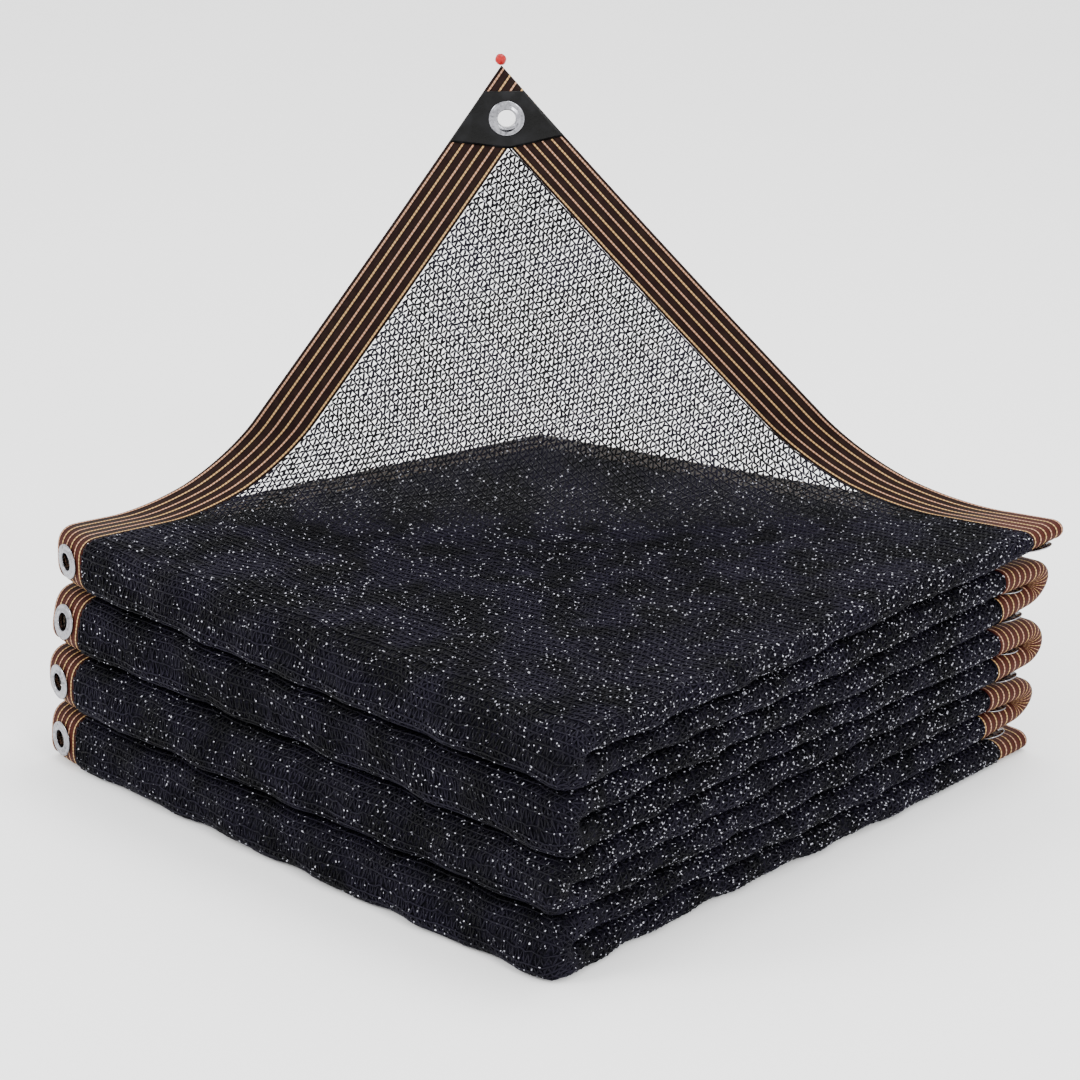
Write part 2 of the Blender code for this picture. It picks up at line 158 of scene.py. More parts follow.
# Stripes of the tape
STRIPE_FIRST = 0.00275
STRIPE_PITCH = 0.0069
STRIPES = 6
STRIPE_HALF = 0.0007
STRIPE_RISE = 0.0004
THREAD_PITCH = 0.0011
WARP_PITCH = 0.0009
STITCH_PITCH = 0.0030
TAPE_HALF = HALF * 0.8
TAPE_EDGE = 0.0016                         # the rounding of its edges
TAPE_COLUMNS = 49
HIDDEN_COLUMNS = 25

# How reddish the tape is, as a painted sheen where it bends and near the right corner; below zero it gets
# painted shade, on the tape that hardly shows
PAINTED_SHEEN_FLAT = 0.1
PAINTED_SHEEN_BEND = 0.6
PAINTED_SHADE_HIDDEN = -0.9
PAINTED_SHEEN_CORNER = 1.6
CORNER_SHEEN_FADE = (X_RIGHT - 0.08, X_RIGHT - 0.02)

# The camera, fitted to the photograph
VIEW_AZIMUTH = math.radians(43.69)
VIEW_ELEVATION = math.radians(21)
VIEW_DISTANCE = 2.6
VIEW_TARGET = Vector((0, 0, 0.150))
VIEW_LENS = 110.72
VIEW_SENSOR = 36.0
VIEW_SHIFT = (0.0037, 0.0373)


def smooth_step(value, start, end):
    t = np.clip((value - start) / (end - start), 0.0, 1.0)
    return t * t * (3 - 2 * t)


def length_of(vectors):
    return np.linalg.norm(vectors, axis=-1, keepdims=True)


def wave(form, share, z):
    turns = form["cycles"] * share + form["for_each_metre_up"] * z
    return WAVE * np.sin(2 * np.pi * turns + form["phase"])


def swayed(lengths, along, z):
    """A long wave and a finer one, each with its length along the fold and its length upwards."""
    (long, long_up), (fine, fine_up) = lengths
    coarse = np.sin(2 * np.pi * (along / long + z / long_up))
    return coarse + RIPPLE_FINE * np.sin(2 * np.pi * (along / fine + z / fine_up))


def ripple(x, y, z):
    """The soft unevenness of the net, away from the tapes and from the raised corner."""
    past = x * PAST[0] + y * PAST[1]
    loose = smooth_step(x, X_LEFT + TAPE_WIDTH, X_LEFT + 3 * TAPE_WIDTH)
    loose = loose * (1 - smooth_step(y, Y_BACK - 5 * TAPE_WIDTH, Y_BACK - 3 * TAPE_WIDTH))
    loose = loose * (1 - smooth_step(past, -TAPE_WIDTH, LIFT_START)) * RIPPLE
    turn = 2 * np.pi
    swell = np.sin(turn * (x / SWELL_X + y / SWELL_Y)) * np.sin(turn * (y / SWELL_ROWS))
    return (
        loose * swayed(RIPPLE_ALONG_Y, y, z),
        loose * swayed(RIPPLE_ALONG_X, x, z),
        loose * swell * z / PILE_HEIGHT,
    )


def settle(x, y, z):
    """Where points of the evenly folded pile lie once the pile has sagged."""
    move_x, move_y, move_z = ripple(x, y, z)
    across = x / FOLD_X + 0.5
    back = y / FOLD_Y + 0.5
    corner = smooth_step(x, X_RIGHT - NOTCH_X, X_RIGHT) * smooth_step(y, Y_BACK - NOTCH_Y, Y_BACK)
    level = (z + BASE_DROP) / (2 * PANEL_PITCH)
    offset = (np.mod(level, 1.0) - 0.5) * 2
    lowest = PANEL_PITCH - BASE_DROP
    opened = z + NOTCH * corner * np.copysign(1 - np.abs(offset), offset)
    z = np.where(z < lowest, z - NOTCH * corner * z / lowest, opened)
    front = HEIGHT_LEFT * (1 - across) + HEIGHT_FRONT * across
    rear = HEIGHT_BACK * (1 - across) + HEIGHT_RIGHT * across
    z = z * (front * (1 - back) + rear * back) / PILE_HEIGHT
    fall = np.maximum(0.0, 1 - (x - X_LEFT) / CORNER_ROUND) ** 2 * np.maximum(0.0, 1 - 2 * back)
    return np.stack([
        x + LEAN * z + wave(RIDGE_WAVE, back, z) * across + move_x,
        y + LEAN * z + wave(BEND_WAVE, across, z) * (1 - back) + CORNER_BACK * fall + move_y,
        z + move_z,
    ], axis=-1)


def lifted_middle(x, y):
    """The middle of the top layer, flat on the pile up to the lift, then standing up."""
    past = x * PAST[0] + y * PAST[1]
    beyond = np.maximum(past - LIFT_START, 0.0)
    height = PILE_HEIGHT - PANEL_PITCH / 2 - BASE_DROP + TOP_N
    curve = LIFT_RADIUS * (LIFT_TO - LIFT_FROM)
    narrow = 1 - LIFT_NARROW * smooth_step(beyond, 0.0, curve)
    length = beyond + (LIFT_STRETCH - 1) * np.maximum(beyond - curve / 2, 0.0)
    bent = np.minimum(length, curve)
    angle = LIFT_FROM + bent / LIFT_RADIUS
    run = LIFT_RADIUS * (np.sin(angle) - math.sin(LIFT_FROM)) + (length - bent) * math.cos(LIFT_TO)
    rise = LIFT_RADIUS * (math.cos(LIFT_FROM) - np.cos(angle)) + (length - bent) * math.sin(LIFT_TO)
    run = np.where(beyond > 0, run, 0.0)
    rise = np.where(beyond > 0, rise, 0.0)
    base = settle(x - beyond * PAST[0], y - beyond * PAST[1], np.full_like(x, height))
    side = x * ALONG[0] + y * ALONG[1]
    shift = side * (narrow - 1) + LIFT_SHIFT * beyond / (REACH - LIFT_START)
    move = np.stack([shift * ALONG[0] + run * PAST[0], shift * ALONG[1] + run * PAST[1], rise], axis=-1)
    return base + move


def lifted(x, y, out):
    """Points of the top layer, out metres above the layer's middle."""
    along_x = lifted_middle(x + PROBE, y) - lifted_middle(x - PROBE, y)
    along_y = lifted_middle(x, y + PROBE) - lifted_middle(x, y - PROBE)
    normal = np.cross(along_x, along_y)
    return lifted_middle(x, y) + normal / length_of(normal) * out[..., None]


def panel_level(panel):
    return (PANELS - panel + 0.5) * PANEL_PITCH - BASE_DROP


def on_panel(panel, y):
    """Places along the fold: arrays of y, level, panel, side of the bend and angle round it."""
    y = np.asarray(y, float)
    return {
        "y": y,
        "z": np.full_like(y, panel_level(panel)),
        "panel": np.full_like(y, panel),
        "side": np.zeros_like(y),
        "angle": np.zeros_like(y),
    }


def on_bend(panel, angle):
    """Places round the bend below a panel: at the front below odd ones, else at the back."""
    angle = np.asarray(angle, float)
    side = 1.0 if panel % 2 else -1.0
    return {
        "y": np.full_like(angle, BEND_FRONT_Y if side > 0 else BEND_BACK_Y),
        "z": np.full_like(angle, panel_level(panel) - PANEL_PITCH / 2),
        "panel": np.zeros_like(angle),
        "side": np.full_like(angle, side),
        "angle": angle,
    }


def chosen(where, first, second):
    return {key: np.where(where, first[key], second[key]) for key in first}


def joined(*paths):
    return {key: np.concatenate([path[key] for path in paths]) for key in paths[0]}


def place(path, x, n, top):
    """World points at x along the section and n out from the panel's middle."""
    y, z, panel, side, angle, x, n, top = np.broadcast_arrays(
        path["y"], path["z"], path["panel"], path["side"], path["angle"], x, n, top)
    up = np.where(panel % 2 == 1, n, -n)
    flat = settle(x, y, z + up)
    radius = PANEL_PITCH / 2 + side * n
    square = 2 / (2 + (SQUARENESS - 2) * np.clip(n / TOP_N, 0.0, 1.0))
    power = np.where(side > 0, square, 1.0)
    across = np.abs(np.cos(angle)) ** power
    rise = np.copysign(np.abs(np.sin(angle)) ** power, angle)
    bent = settle(x, y - side * radius * across, z + radius * rise)
    points = np.where((panel > 0)[..., None], flat, bent)
    raised = top & (panel == 1)
    return np.where(raised[..., None], lifted(x, y, n - TOP_N), points)


def section_at(s):
    """The outer layer s metres from the net's edge: x, n and the direction out of it."""
    angle = QUARTER - np.clip((s - RIDGE_START) / TOP_N, 0.0, math.pi)
    turning = (s > RIDGE_START) & (s < RIDGE_START + RIDGE_LENGTH)
    under = s >= RIDGE_START + RIDGE_LENGTH
    x = np.where(turning, RIDGE_X + TOP_N * np.cos(angle), CLOTH_X + s)
    x = np.where(under, RIDGE_X - (s - RIDGE_START - RIDGE_LENGTH), x)
    n = np.where(turning, TOP_N * np.sin(angle), np.where(under, -TOP_N, TOP_N))
    nx = np.where(turning, np.cos(angle), 0.0)
    nn = np.where(turning, np.sin(angle), np.where(under, -1.0, 1.0))
    return x, n, nx, nn, s <= RIDGE_START


def lobe_at(panel, v):
    """Places v metres past the start of a front bend, and on the panels at each end of it."""
    angle = QUARTER - np.clip(v / BEND_LENGTH, 0.0, 1.0) * math.pi
    above = on_panel(panel, BEND_FRONT_Y - np.minimum(v, 0.0))
    below = on_panel(panel + 1, BEND_FRONT_Y + np.maximum(v - BEND_LENGTH, 0.0))
    path = chosen(v < 0, above, on_bend(panel, angle))
    return chosen(v > BEND_LENGTH, below, path)


def new_material(name):
    """A node material, with its nodes, its links and its shader."""
    made = bpy.data.materials.new(name)
    made.use_nodes = True
    nodes = made.node_tree.nodes
    return made, nodes, made.node_tree.links, nodes["Principled BSDF"]


def add_node(nodes, kind, **settings):
    node = nodes.new(kind)
    for key, value in settings.items():
        if hasattr(node, key):
            setattr(node, key, value)
        else:
            node.inputs[key.replace("_", " ")].default_value = value
    return node


def math_node(nodes, links, operation, first, second=None):
    """A math node whose inputs are sockets or numbers."""
    node = nodes.new("ShaderNodeMath")
    node.operation = operation
    for slot, value in enumerate((first, second)):
        if isinstance(value, (int, float)):
            node.inputs[slot].default_value = value
        elif value is not None:
            links.new(value, node.inputs[slot])
    return node.outputs[0]


def ranged(nodes, links, value, low, high, to_low=0.0, to_high=1.0):
    """A smooth change from one value to another."""
    node = nodes.new("ShaderNodeMapRange")
    node.interpolation_type = "SMOOTHSTEP"
    links.new(value, node.inputs["Value"])
    for key, number in (("From Min", low), ("From Max", high), ("To Min", to_low), ("To Max", to_high)):
        node.inputs[key].default_value = number
    return node.outputs["Result"]


def mixed(nodes, links, share, first, second):
    """A colour between two, which are sockets or colours."""
    node = nodes.new("ShaderNodeMix")
    node.data_type = "RGBA"
    links.new(share, node.inputs["Factor"])
    for slot, value in ((6, first), (7, second)):
        if isinstance(value, tuple):
            node.inputs[slot].default_value = (*value, 1.0)
        else:
            links.new(value, node.inputs[slot])
    return node.outputs[2]


def bumped(nodes, links, shader, height, strength, distance):
    bump = add_node(nodes, "ShaderNodeBump", Strength=strength, Distance=distance)
    links.new(height, bump.inputs["Height"])
    links.new(bump.outputs["Normal"], shader.inputs["Normal"])


def noise(nodes, links, scale, detail=2.0):
    place_of = nodes.new("ShaderNodeTexCoord")
    node = add_node(nodes, "ShaderNodeTexNoise", Scale=scale, Detail=detail)
    links.new(place_of.outputs["Object"], node.inputs["Vector"])
    return node.outputs["Fac"]


def yarn_material(name, glint_share):
    """Black plastic yarn with a faint purple-grey cast, and painted glints: small pale cells in its colour
    that stand in for highlights.
    """
    made, nodes, links, shader = new_material(name)
    broad = ranged(nodes, links, noise(nodes, links, 22.0), 0.35, 0.65)
    colour = mixed(nodes, links, broad, (0.002, 0.002, 0.003), (0.007, 0.006, 0.012))
    place_of = nodes.new("ShaderNodeTexCoord")
    glint_cells = add_node(nodes, "ShaderNodeTexVoronoi", Scale=GLINT_SCALE)
    links.new(place_of.outputs["Object"], glint_cells.inputs["Vector"])
    parts = nodes.new("ShaderNodeSeparateColor")
    links.new(glint_cells.outputs["Color"], parts.inputs[0])
    # painted glints: a share of the cells is coloured pale grey, standing in for highlights
    glint = ranged(nodes, links, parts.outputs["Red"], 1 - glint_share, 1 - glint_share / 2)
    links.new(mixed(nodes, links, glint, colour, (0.42, 0.42, 0.47)), shader.inputs["Base Color"])
    fine = noise(nodes, links, 700.0, 1.0)
    links.new(ranged(nodes, links, fine, 0.35, 0.65, 0.25, 0.60), shader.inputs["Roughness"])
    bumped(nodes, links, shader, fine, 0.5, 0.0003)
    shader.inputs["Specular IOR Level"].default_value = 0.08
    return made


def backing_material():
    """The layers of net under the outermost one, seen between its yarns."""
    made, nodes, links, shader = new_material("net_backing")
    fine = noise(nodes, links, 420.0, 3.0)
    lit = ranged(nodes, links, fine, 0.4, 0.7)
    colour = mixed(nodes, links, lit, (0.001, 0.001, 0.002), (0.007, 0.006, 0.011))
    links.new(colour, shader.inputs["Base Color"])
    shader.inputs["Roughness"].default_value = 0.9
    shader.inputs["Specular IOR Level"].default_value = 0.05
    bumped(nodes, links, shader, fine, 0.9, 0.0010)
    return made


def repeated(nodes, links, value, pitch):
    """A sine wave that repeats every pitch metres."""
    turned = math_node(nodes, links, "MULTIPLY", value, 2 * math.pi / pitch)
    return math_node(nodes, links, "SINE", turned)


def tape_material():
    """Woven tape: dark ground, thin cream stripes with dark flanks, a fine weave, and a reddish painted
    sheen and painted shade from a point attribute.
    """
    made, nodes, links, shader = new_material("striped_tape")
    uv = nodes.new("ShaderNodeUVMap")
    uv.uv_map = "tape"
    parts = nodes.new("ShaderNodeSeparateXYZ")
    links.new(uv.outputs["UV"], parts.inputs[0])
    across, along = parts.outputs["X"], parts.outputs["Y"]
    stripe = math_node(nodes, links, "DIVIDE",
                       math_node(nodes, links, "SUBTRACT", across, STRIPE_FIRST), STRIPE_PITCH)
    nearest = math_node(nodes, links, "ROUND", stripe)
    from_stripe = math_node(nodes, links, "MULTIPLY", math_node(
        nodes, links, "ABSOLUTE", math_node(nodes, links, "SUBTRACT", stripe, nearest)), STRIPE_PITCH)
    on_stripe = ranged(nodes, links, from_stripe, STRIPE_HALF * 0.75, STRIPE_HALF * 1.15, 1.0, 0.0)
    flank = ranged(nodes, links, from_stripe, STRIPE_HALF * 1.6, STRIPE_HALF * 2.6, 1.0, 0.0)
    odd = math_node(nodes, links, "PINGPONG", nearest, 1.0)

    # threads across and along, about one millimetre apart
    thread = repeated(nodes, links, along, THREAD_PITCH)
    warp = repeated(nodes, links, across, WARP_PITCH)
    weave = math_node(nodes, links, "MULTIPLY", thread, warp)
    stitch = repeated(nodes, links, along, STITCH_PITCH)

    # painted light from the point attribute: a reddish painted sheen where it is above zero
    warmth = nodes.new("ShaderNodeAttribute")
    warmth.attribute_name = "warm"
    patchy = noise(nodes, links, 160.0, 3.0)
    worn = ranged(nodes, links, patchy, 0.35, 0.7)
    ground = mixed(nodes, links, worn, (0.002, 0.001, 0.001), (0.008, 0.005, 0.004))
    ground = mixed(nodes, links, ranged(nodes, links, weave, 0.2, 0.9), ground, (0.015, 0.010, 0.009))
    ground = mixed(nodes, links, warmth.outputs["Fac"], ground, (0.060, 0.010, 0.005))
    ground = mixed(nodes, links, flank, ground, (0.001, 0.001, 0.001))
    cream = mixed(nodes, links, odd, (0.46, 0.25, 0.16), (0.48, 0.30, 0.12))
    cream = mixed(nodes, links, ranged(nodes, links, stitch, -0.9, 0.2), (0.26, 0.13, 0.07), cream)
    colour = mixed(nodes, links, on_stripe, ground, cream)
    # painted shade where the attribute is below zero
    shaded = math_node(nodes, links, "MULTIPLY", warmth.outputs["Fac"], -1.0)
    colour = mixed(nodes, links, shaded, colour, (0.004, 0.003, 0.003))
    links.new(colour, shader.inputs["Base Color"])
    shader.inputs["Roughness"].default_value = 0.62
    shader.inputs["Specular IOR Level"].default_value = 0.08
    bumped(nodes, links, shader, weave, 0.6, 0.0003)
    return made


def patch_material():
    """Black coated fabric, satin, with a fine pebbled grain."""
    made, nodes, links, shader = new_material("coated_patch")
    place_of = nodes.new("ShaderNodeTexCoord")
    grain = add_node(nodes, "ShaderNodeTexVoronoi", Scale=620.0)
    links.new(place_of.outputs["Object"], grain.inputs["Vector"])
    broad = noise(nodes, links, 60.0, 3.0)
    rubbed = ranged(nodes, links, broad, 0.4, 0.7)
    colour = mixed(nodes, links, rubbed, (0.002, 0.002, 0.002), (0.007, 0.007, 0.008))
    links.new(colour, shader.inputs["Base Color"])
    shader.inputs["Specular IOR Level"].default_value = 0.12
    links.new(ranged(nodes, links, broad, 0.35, 0.65, 0.24, 0.40), shader.inputs["Roughness"])
    bumped(nodes, links, shader, grain.outputs["Distance"], 0.25, 0.0003)
    return made


def metal_material():
    """Pressed silver metal with faint scuffs."""
    made, nodes, links, shader = new_material("eyelet_metal")
    scuffs = noise(nodes, links, 380.0, 4.0)
    scuffed = ranged(nodes, links, scuffs, 0.45, 0.75)
    colour = mixed(nodes, links, scuffed, (0.26, 0.26, 0.28), (0.11, 0.11, 0.12))
    links.new(colour, shader.inputs["Base Color"])
    links.new(ranged(nodes, links, scuffs, 0.35, 0.7, 0.14, 0.34), shader.inputs["Roughness"])
    shader.inputs["Metallic"].default_value = 1.0
    bumped(nodes, links, shader, scuffs, 0.12, 0.0002)
    return made


def bead_material():
    """Red plastic with slight cloudiness."""
    made, nodes, links, shader = new_material("red_bead")
    cloud = noise(nodes, links, 500.0, 2.0)
    clouded = ranged(nodes, links, cloud, 0.35, 0.7)
    colour = mixed(nodes, links, clouded, (0.24, 0.003, 0.004), (0.36, 0.008, 0.009))
    links.new(colour, shader.inputs["Base Color"])
    shader.inputs["Specular IOR Level"].default_value = 0.2
    shader.inputs["Roughness"].default_value = 0.4
    bumped(nodes, links, shader, cloud, 0.3, 0.0003)
    return made


def floor_material():
    made, nodes, links, shader = new_material("pale_floor")
    faint = noise(nodes, links, 3.0)
    colour = mixed(nodes, links, faint, (0.93, 0.93, 0.93), (0.96, 0.96, 0.96))
    links.new(colour, shader.inputs["Base Color"])
    shader.inputs["Roughness"].default_value = 0.9
    return made


MATERIALS = {
    "yarn": yarn_material("net_yarn", GLINT_SHARE),
    # the same yarn, with more painted glints on the ridges
    "ridge_yarn": yarn_material("net_ridge_yarn", RIDGE_GLINT_SHARE),
    "backing": backing_material(),
    "tape": tape_material(),
    "patch": patch_material(),
    "metal": metal_material(),
    "bead": bead_material(),
}


def add_piece(name, points, faces, finish, uvs=None, warm=None, stands_for=()):
    """One mesh piece that rides on the cloth's only body."""
    faces = np.asarray(faces).reshape(-1, 4)
    used, faces = np.unique(faces, return_inverse=True)
    faces = faces.reshape(-1, 4)
    points = points.reshape(-1, 3)[used]
    points[:, 2] = np.maximum(points[:, 2], 0.0)
    mesh = bpy.data.meshes.new(name)
    mesh.from_pydata(points.tolist(), [], faces.tolist())
    if uvs is not None:
        layer = mesh.uv_layers.new(name="tape")
        corners = np.empty(len(mesh.loops), np.int32)
        mesh.loops.foreach_get("vertex_index", corners)
        layer.data.foreach_set("uv", uvs.reshape(-1, 2)[used][corners].astype(np.float32).ravel())
    # per-point painted sheen and painted shade for the tape
    if warm is not None:
        attribute = mesh.attributes.new("warm", "FLOAT", "POINT")
        attribute.data.foreach_set("value", warm.reshape(-1)[used].astype(np.float32))
    mesh.update()
    mesh.shade_smooth()
    mesh.materials.append(MATERIALS[finish])
    piece = bpy.data.objects.new(name, mesh)
    bpy.context.scene.collection.objects.link(piece)
    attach(piece, "root")
    if stands_for:
        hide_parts(*stands_for)
    return piece


def grid_faces(rows, columns, first=0, keep=None):
    index = first + np.arange(rows * columns).reshape(rows, columns)
    faces = np.stack([index[:-1, :-1], index[1:, :-1], index[1:, 1:], index[:-1, 1:]], axis=-1)
    if keep is not None:
        faces = faces[keep]
    return faces.reshape(-1, 4)


def slab(name, top, bottom, finish, keep=None, **more):
    """A closed sheet between two grids of points."""
    rows, columns = top.shape[:2]
    count = rows * columns
    above = grid_faces(rows, columns, 0, keep)
    below = grid_faces(rows, columns, count, keep)[:, ::-1]
    index = np.arange(count).reshape(rows, columns)
    rim = np.concatenate([index[0, :-1], index[:-1, -1], index[-1, :0:-1], index[:0:-1, 0]])
    after = np.roll(rim, -1)
    sides = np.stack([rim, after, after + count, rim + count], axis=-1)
    if keep is not None:
        kept = np.unique(above)
        sides = sides[np.isin(rim, kept) & np.isin(after, kept)]
    points = np.concatenate([top.reshape(-1, 3), bottom.reshape(-1, 3)])
    faces = np.concatenate([above, below, sides])
    a, b, c = (points[above[:, i]] for i in range(3))
    through = points[above[:, 0]] - points[above[:, 0] + count]
    outward = np.einsum("ij,ij->i", np.cross(b - a, c - a), through)
    if outward.sum() < 0:
        faces = faces[:, ::-1]
    for key in ("uvs", "warm"):
        if more.get(key) is not None:
            more[key] = np.concatenate([more[key].reshape(count, -1)] * 2)
    return add_piece(name, points, faces, finish, **more)


def ridged_yarns(lines, normals, width, height, keep=None, first=0):
    """Three-sided yarns along lines, an array of line, point and coordinate."""
    ahead = np.gradient(lines, axis=1)
    ahead /= np.maximum(length_of(ahead), 1e-9)
    side = np.cross(ahead, normals)
    side /= np.maximum(length_of(side), 1e-9)
    up = np.cross(side, ahead)
    corners = np.stack([
        lines + up * height,
        lines - up * height - side * width,
        lines - up * height + side * width,
    ], axis=2)
    count, size = lines.shape[:2]
    index = first + np.arange(count * size * 3).reshape(count, size, 3)
    near, far = index[:, :-1], index[:, 1:]
    faces = np.stack([
        np.stack([near[..., i], near[..., (i + 1) % 3], far[..., (i + 1) % 3], far[..., i]], axis=-1)
        for i in range(3)
    ], axis=2)
    if keep is not None:
        faces = faces[keep]
    return corners.reshape(-1, 3), faces.reshape(-1, 4)


def knitted(name, surface, u_range, v_range, seed, keep=None):
    """A patch of net: wales along u, and a zigzag yarn between each pair of them."""
    rng = np.random.default_rng(seed)
    wales = max(int(round((v_range[1] - v_range[0]) / WALE_PITCH)), 1) + 1
    v_of = np.linspace(*v_range, wales)
    wale_points = int(round((u_range[1] - u_range[0]) / WALE_STEP)) + 1
    strokes = int(round((u_range[1] - u_range[0]) / STROKE))

    # the zigzag has a point at each wale and one between
    share = np.arange(2 * strokes + 1) / 2
    u = u_range[0] + (u_range[1] - u_range[0]) * share / strokes
    u = u + rng.normal(0, STRAY["along"], (wales - 1, len(share)))
    swing = 0.5 - 0.5 * np.cos(np.pi * share)
    v = v_of[:-1, None] + (v_of[1:] - v_of[:-1])[:, None] * swing
    v = v + rng.normal(0, STRAY["across"], v.shape)
    out = YARN_OUT + rng.normal(0, STRAY["out"], v.shape)
    zigzag = np.clip(u, *u_range), np.clip(v, *v_range), out

    u = np.linspace(*u_range, wale_points)[None, :] + np.zeros((wales, 1))
    v = v_of[:, None] + rng.normal(0, WALE_STRAY["across"], u.shape)
    out = WALE_OUT + rng.normal(0, WALE_STRAY["out"], u.shape)
    straight = u, np.clip(v, *v_range), out

    points, faces, first = [], [], 0
    kinds = ((zigzag, YARN_WIDTH, YARN_HEIGHT), (straight, WALE_WIDTH, WALE_HEIGHT))
    for (u, v, out), width, height in kinds:
        lines = surface(u, v, out)
        normals = surface(u, v, out + PROBE) - lines
        normals /= np.maximum(length_of(normals), 1e-9)
        kept = keep(u, v)[:, 1:] if keep else None
        more, quads = ridged_yarns(lines, normals, width, height, kept, first)
        points.append(more)
        faces.append(quads)
        first += len(more)
    points, faces = np.concatenate(points), np.concatenate(faces)
    # the ridges' net takes the yarn with more painted glints
    return add_piece(name, points, faces[:, ::-1], "ridge_yarn" if "ridge" in name else "yarn")


def on_top(u, v, out):
    """The top layer: u along x from the net's edge, v along y."""
    x, n, nx, nn, top = section_at(u)
    return place(on_panel(1, v), x + nx * out, n + nn * out, top)


def lobe_surface(panel):
    def surface(u, v, out):
        x, n, nx, nn, top = section_at(u)
        return place(lobe_at(panel, v), x + nx * out, n + nn * out, top)
    return surface


def ridge_surface(panel):
    def surface(u, v, out):
        x, n, nx, nn, top = section_at(u)
        return place(on_panel(panel, v), x + nx * out, n + nn * out, top)
    return surface


def past_of(u, v):
    """How far past the pile's diagonal a point of the top layer lies."""
    return (CLOTH_X + u) * PAST[0] + v * PAST[1]


def add_net():
    """The outermost layer of net, yarn by yarn, wherever it shows."""
    made = []
    whole = (0.0, RIDGE_START)
    made.append(knitted("net_raised", on_top, whole, (BEND_FRONT_Y, CLOTH_Y), RAISED_SEED,
                        lambda u, v: past_of(u, v) > LIFT_START))
    made.append(knitted("net_lying", on_top, whole, (BEND_FRONT_Y, CLOTH_Y), LYING_SEED,
                        lambda u, v: past_of(u, v) <= LIFT_START + WALE_PITCH / 2))
    for panel in range(1, PANELS, 2):
        reach = (0.0, RIDGE_START + RIDGE_LENGTH + RIDGE_RUN)
        start = 0.0 if panel == 1 else -LOBE_RUN
        made.append(knitted(f"net_front_{panel}", lobe_surface(panel), reach,
                            (start, BEND_LENGTH + LOBE_RUN), FRONT_SEEDS + panel))
    for panel in range(1, PANELS + 1):
        start = 0.0 if panel == 1 else -RIDGE_RUN
        end = CLOTH_Y if panel in (1, PANELS) else BAND_Y
        reach = (RIDGE_START + start, RIDGE_START + RIDGE_LENGTH + RIDGE_RUN)
        made.append(knitted(f"net_ridge_{panel}", ridge_surface(panel), reach,
                            (BEND_FRONT_Y, end), RIDGE_SEEDS + panel))
    return made


def section_points(top_count, ridge_count, layer_count, turn_count):
    """The net folded in four: x, n, direction out and top-layer mark, point by point."""
    def run(start, end, n, out, count, top=False):
        x = np.linspace(start, end, count + 1)
        return [(a, n, 0.0, out, top) for a in x]

    def turn(x, n, radius, start, end, count, sign=1):
        angles = np.linspace(start, end, count + 1)[1:-1]
        ways = [(math.cos(a), math.sin(a)) for a in angles]
        return [(x + radius * c, n + radius * s, sign * c, sign * s, False) for c, s in ways]

    rows = run(CLOTH_X, RIDGE_X, TOP_N, 1, top_count, True)
    rows += turn(RIDGE_X, 0, TOP_N, QUARTER, -QUARTER, ridge_count)
    rows += run(RIDGE_X, LEFT_TURN_X, -TOP_N, -1, layer_count)
    rows += turn(LEFT_TURN_X, -LAYER_PITCH, LAYER_PITCH / 2, -QUARTER, -3 * QUARTER, turn_count)
    rows += run(LEFT_TURN_X, INNER_RIDGE_X, -MID_N, 1, layer_count)
    rows += turn(INNER_RIDGE_X, 0, MID_N, -QUARTER, QUARTER, turn_count, -1)
    rows += run(INNER_RIDGE_X, CLOTH_X, MID_N, -1, layer_count)
    return [np.array(column) for column in zip(*rows)]


def whole_path(top_steps, front_steps, back_steps, low_steps, past_net=False):
    """Places from the back end of the top panel to the back end of the bottom one."""
    def bend(panel, count):
        return on_bend(panel, np.linspace(QUARTER, -QUARTER, count + 1)[1:-1])

    start = [Y_BACK] if past_net else []
    parts = [on_panel(1, np.concatenate([start, np.linspace(CLOTH_Y, BEND_FRONT_Y, top_steps + 1)]))]
    for panel in range(2, PANELS + 1):
        parts.append(bend(panel - 1, front_steps if panel % 2 == 0 else back_steps))
        low = np.append(np.linspace(BEND_FRONT_Y, BAND_Y, low_steps + 1), BEND_BACK_Y)
        if panel == PANELS:
            low = np.append(low[:-1], [CLOTH_Y, Y_BACK] if past_net else [CLOTH_Y])
        parts.append(on_panel(panel, low if panel % 2 == 0 else low[::-1]))
    return joined(*parts)


def add_backing():
    """All the layers of net as one folded sheet, without the raised part of the top one."""
    x, n, nx, nn, top = section_points(top_count=44, ridge_count=16, layer_count=16, turn_count=6)
    path = whole_path(top_steps=48, front_steps=16, back_steps=10, low_steps=26)
    path = {key: value[:, None] for key, value in path.items()}
    half = HALF - BACKING_THINNER
    above = place(path, x + nx * half, n + nn * half, top)
    below = place(path, x - nx * half, n - nn * half, top)
    raised = top[None, :] & (path["panel"] == 1) & (x * PAST[0] + path["y"] * PAST[1] > LIFT_START)
    keep = ~raised[:-1, :-1]
    return slab("net_folded", above, below, "backing", keep, stands_for=["cloth"])


def tape_profile(count):
    """Places across the tape, its half thickness and the rise of its stripes."""
    across = np.linspace(0, TAPE_WIDTH, count)
    inside = np.minimum(across, TAPE_WIDTH - across)
    thick = TAPE_HALF * np.sqrt(1 - (1 - np.clip(inside / TAPE_EDGE, 0, 1)) ** 2)
    stripe = np.clip(np.round((across - STRIPE_FIRST) / STRIPE_PITCH), 0, STRIPES - 1)
    nearest = STRIPE_FIRST + STRIPE_PITCH * stripe
    rise = STRIPE_RISE * np.exp(-((across - nearest) / STRIPE_HALF) ** 2)
    return across, thick, np.minimum(rise, thick)


def lengths_along(points):
    """Distance along the rows of a grid, measured down its middle column."""
    middle = points[:, points.shape[1] // 2]
    return np.concatenate([[0.0], np.cumsum(np.linalg.norm(np.diff(middle, axis=0), axis=-1))])


